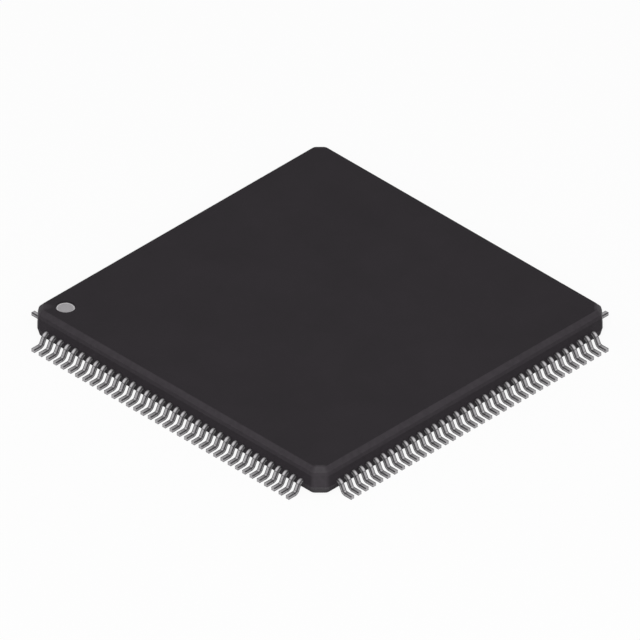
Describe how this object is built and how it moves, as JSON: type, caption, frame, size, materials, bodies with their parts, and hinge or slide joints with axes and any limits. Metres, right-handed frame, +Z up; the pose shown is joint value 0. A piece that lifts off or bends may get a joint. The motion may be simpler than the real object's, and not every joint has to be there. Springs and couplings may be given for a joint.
{
  "type": "digital signal processor",
  "caption": "Low-profile quad flat package: a thin square moulded body with bevelled edges and cut corners, gull-wing leads along every side and a round mark in one corner.",
  "frame": {"origin": "middle of the package, on the plane on which the soles of its leads stand", "axes": "+Z up from the board through the flat top; X and Y square to the sides, with the round mark for lead 1 in the corner at -X and +Y"},
  "size_m": [0.022, 0.022, 0.0016],
  "materials": {
    "mould_compound": "matte",
    "mark_ink": "matte",
    "tin_plate": "satin",
    "copper_alloy": "satin",
    "silver_epoxy": "satin",
    "silicon": "polished",
    "gold": "polished"
  },
  "bodies": {
    "root": {"moulded_body": "mould_compound", "lead_1_mark": "mark_ink", "leads_1_to_36": "tin_plate", "leads_37_to_72": "tin_plate", "leads_73_to_108": "tin_plate", "leads_109_to_144": "tin_plate", "die_paddle": "copper_alloy", "die_adhesive": "silver_epoxy", "silicon_die": "silicon", "bond_wires_1_to_36": "gold", "bond_wires_37_to_72": "gold", "bond_wires_73_to_108": "gold", "bond_wires_109_to_144": "gold"}
  },
  "joints": []
}
